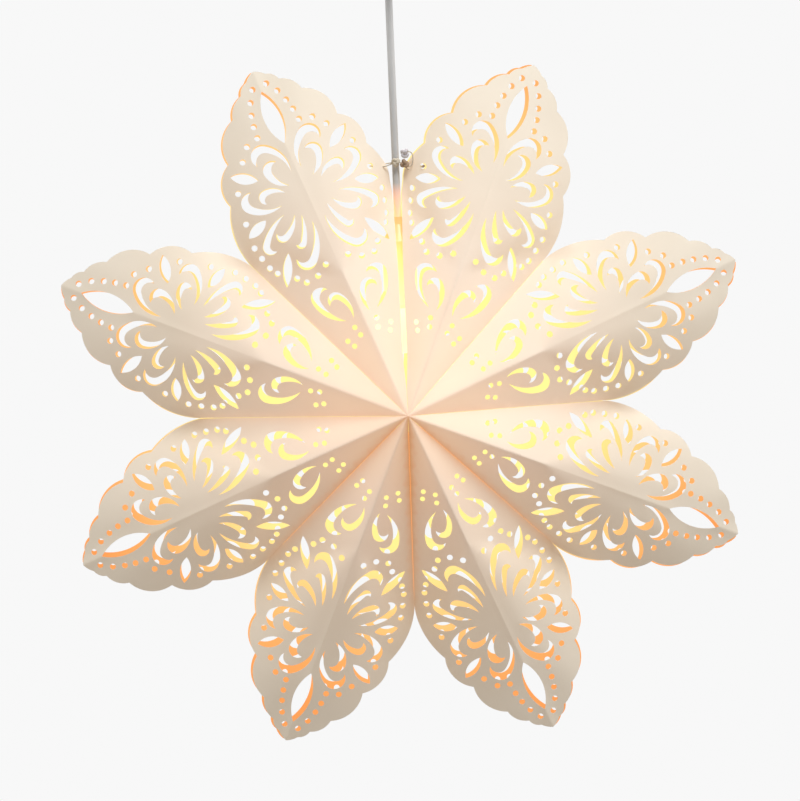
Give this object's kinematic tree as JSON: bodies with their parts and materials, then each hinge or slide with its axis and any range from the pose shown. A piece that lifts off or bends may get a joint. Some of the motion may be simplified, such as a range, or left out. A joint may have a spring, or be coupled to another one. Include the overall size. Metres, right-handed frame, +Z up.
{
  "type": "paper star pendant lamp",
  "caption": "Folded paper star pendant with pierced petals, lit from inside by a small bulb on a cord from a ceiling fitting.",
  "frame": {"origin": "on the ceiling plane, midway between the ceiling strap's two screw holes", "axes": "+Z up into the ceiling along the cord, +Y from the star's front to its back, +X to the right seen from the front"},
  "size_m": [0.5544, 0.166, 0.7092],
  "materials": {
    "paper": "matte folded card",
    "zinc_steel": "bright zinc",
    "white_plastic": "smooth moulded",
    "holder_ceramic": "glazed",
    "brass": "plain",
    "nickel": "nickel plated",
    "black_insulator": "black vitrite",
    "bulb_plastic": "moulded",
    "opal_globe": "opal, lit warm",
    "lead_insulation": "flexible insulation",
    "cord_sheath": "light grey flexible sheath",
    "string": "twisted cotton"
  },
  "bodies": {
    "ceiling": {"ceiling_strap": "zinc_steel", "ceiling_cup": "white_plastic", "cup_screws": "zinc_steel", "terminal_block": "white_plastic", "terminal_tubes": "brass", "terminal_screws": "zinc_steel", "block_screw": "zinc_steel", "ceiling_leads": "lead_insulation", "cord_gland": "white_plastic", "gland_screw": "zinc_steel", "gland_nut": "zinc_steel", "cord_tail": "cord_sheath"},
    "cord_top": {"cord_neck": "cord_sheath"},
    "pendant": {"upper_cord": "cord_sheath"},
    "star": {"lower_cord": "cord_sheath", "tie_string": "string", "holder_cap": "white_plastic", "cord_grip_screw": "zinc_steel", "holder_sleeve": "white_plastic", "holder_core": "holder_ceramic", "core_screws": "zinc_steel", "screw_shell": "brass", "centre_contact": "brass", "holder_leads": "lead_insulation", "front_petal_1": "paper", "front_petal_2": "paper", "front_petal_3": "paper", "front_petal_4": "paper", "front_petal_5": "paper", "front_petal_6": "paper", "front_petal_7": "paper", "front_petal_8": "paper", "back_petal_1": "paper", "back_petal_2": "paper", "back_petal_3": "paper", "back_petal_4": "paper", "back_petal_5": "paper", "back_petal_6": "paper", "back_petal_7": "paper", "back_petal_8": "paper"},
    "bulb": {"bulb_globe": "opal_globe", "bulb_collar": "bulb_plastic", "led_board": "bulb_plastic", "bulb_screw_cap": "nickel", "bulb_insulator": "black_insulator", "bulb_tip_contact": "nickel"}
  },
  "joints": [
    {"name": "swing", "type": "hinge", "parent": "ceiling", "child": "cord_top", "pos_m": [0, 0, -0.066], "axis": [1, 0, 0], "range_deg": [-15, 15]},
    {"name": "sway", "type": "hinge", "parent": "cord_top", "child": "pendant", "pos_m": [0, 0, -0.073], "axis": [0, 1, 0], "range_deg": [-15, 15]},
    {"name": "star_turn", "type": "hinge", "parent": "pendant", "child": "star", "pos_m": [0, 0, -0.142], "axis": [0, 0, 1], "range_deg": [-180, 180], "stiffness_Nm_per_rad": 0.004},
    {"name": "bulb_out", "type": "slide", "parent": "star", "child": "bulb", "axis": [0, 0, -1], "range_m": [0, 0.026]}
  ]
}
